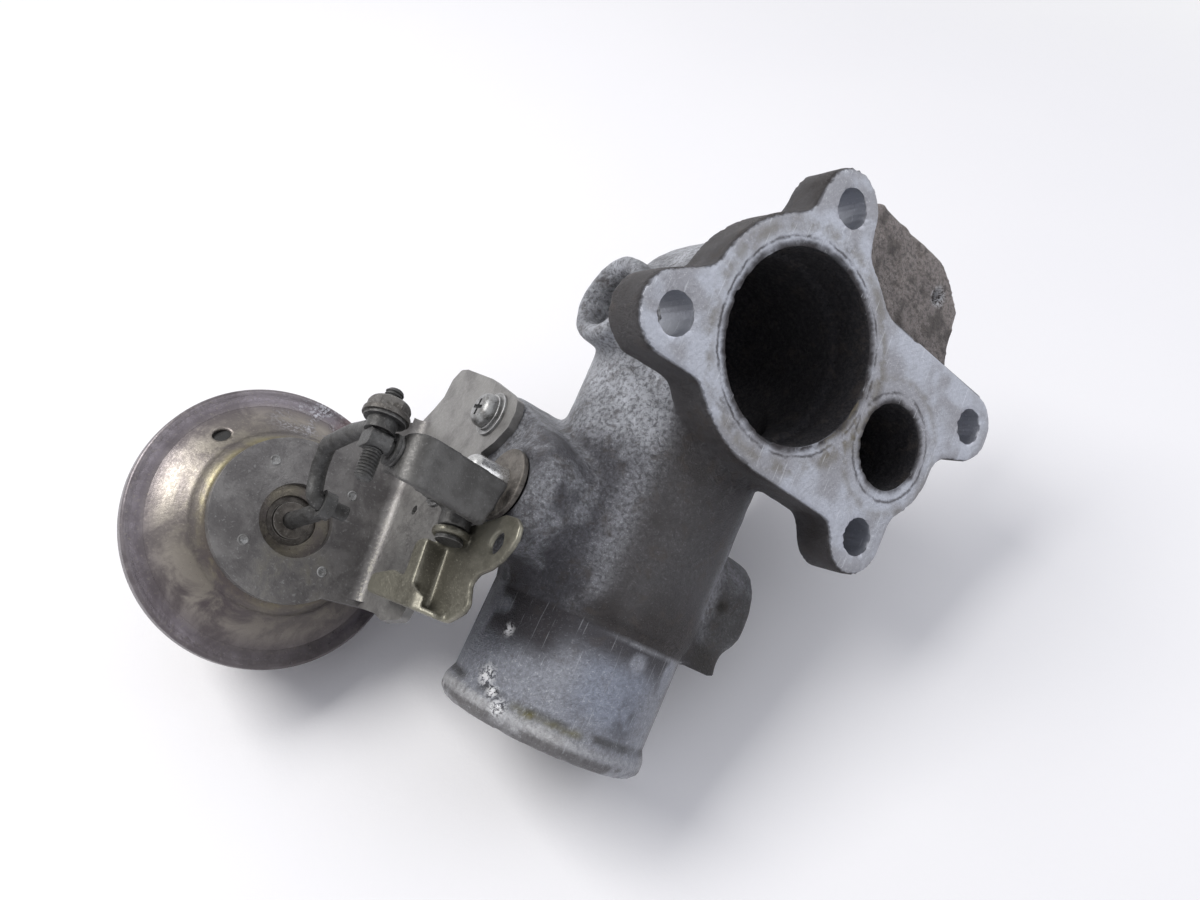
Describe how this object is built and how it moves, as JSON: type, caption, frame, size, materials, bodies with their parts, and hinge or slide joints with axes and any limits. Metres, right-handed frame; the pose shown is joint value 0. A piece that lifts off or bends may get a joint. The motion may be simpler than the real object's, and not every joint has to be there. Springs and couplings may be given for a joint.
{
  "type": "egr valve",
  "caption": "Exhaust gas recirculation valve: cast elbow with a lobed mounting flange and side gas port, and a vacuum actuator that opens the valve through a lever.",
  "frame": {"origin": "centre of the main bore on the mounting flange's face", "axes": "+Z out of the flange face along the main bore; the inlet tube runs along -Y; the vacuum actuator stands off towards -X"},
  "size_m": [0.1964, 0.2014, 0.1473],
  "materials": {
    "cast_aluminium": "rough, oily sand casting",
    "zinc_steel": "dull zinc plate",
    "olive_steel": "olive chromate over zinc",
    "tarnished_steel": "tarnished zinc, purple-brown",
    "dark_steel": "oily phosphate",
    "ground_steel": "ground",
    "hard_iron": "sintered",
    "bronze": "sintered bush",
    "seal_rubber": "moulded"
  },
  "bodies": {
    "housing": {"valve_body": "cast_aluminium", "valve_seat": "hard_iron", "stem_guide": "bronze", "stem_seal": "seal_rubber", "seal_cup": "zinc_steel", "access_plug": "dark_steel", "actuator_bracket": "zinc_steel", "bracket_screws": "zinc_steel", "screw_washers": "zinc_steel", "pivot_bracket": "olive_steel", "pivot_pin": "dark_steel", "pivot_clip": "dark_steel", "actuator_cup": "tarnished_steel", "vacuum_can": "tarnished_steel", "vacuum_nipple": "tarnished_steel", "rod_guide": "seal_rubber", "diaphragm": "seal_rubber", "diaphragm_spring": "ground_steel"},
    "rod": {"actuator_rod": "dark_steel", "front_plate": "zinc_steel", "spring_plate": "zinc_steel", "rod_nut": "zinc_steel"},
    "lever": {"lever": "dark_steel", "swivel": "dark_steel", "swivel_clip": "dark_steel"},
    "link": {"hook_rod": "dark_steel", "adjusting_stud": "dark_steel", "stud_washer": "dark_steel", "stud_nut": "dark_steel"},
    "valve": {"poppet_valve": "ground_steel", "stem_pin": "ground_steel"}
  },
  "joints": [
    {"name": "rod_stroke", "type": "slide", "parent": "housing", "child": "rod", "axis": [0, -0.2924, -0.9563], "range_m": [0, 0.01476], "stiffness_N_per_m": 1500, "springref_m": -0.01, "deforming": ["diaphragm_spring", "diaphragm"]},
    {"name": "lever_swing", "type": "hinge", "parent": "housing", "child": "lever", "pos_m": [-0.04844, -0.07915, -0.04025], "axis": [0, -0.9563, 0.2924], "range_deg": [0, 26]},
    {"name": "link_swing", "type": "hinge", "parent": "lever", "child": "link", "pos_m": [-0.07954, -0.07584, -0.02942], "axis": [0, -0.9563, 0.2924], "range_deg": [-26, 0]},
    {"name": "valve_lift", "type": "slide", "parent": "housing", "child": "valve", "axis": [-1, 0, 0], "range_m": [0, 0.00375]}
  ],
  "couplings": [
    {"joint": "lever_swing", "follows": "rod_stroke", "rad_per_m": 30.701},
    {"joint": "link_swing", "follows": "rod_stroke", "rad_per_m": -30.701},
    {"joint": "valve_lift", "follows": "rod_stroke", "ratio": 0.2538}
  ]
}
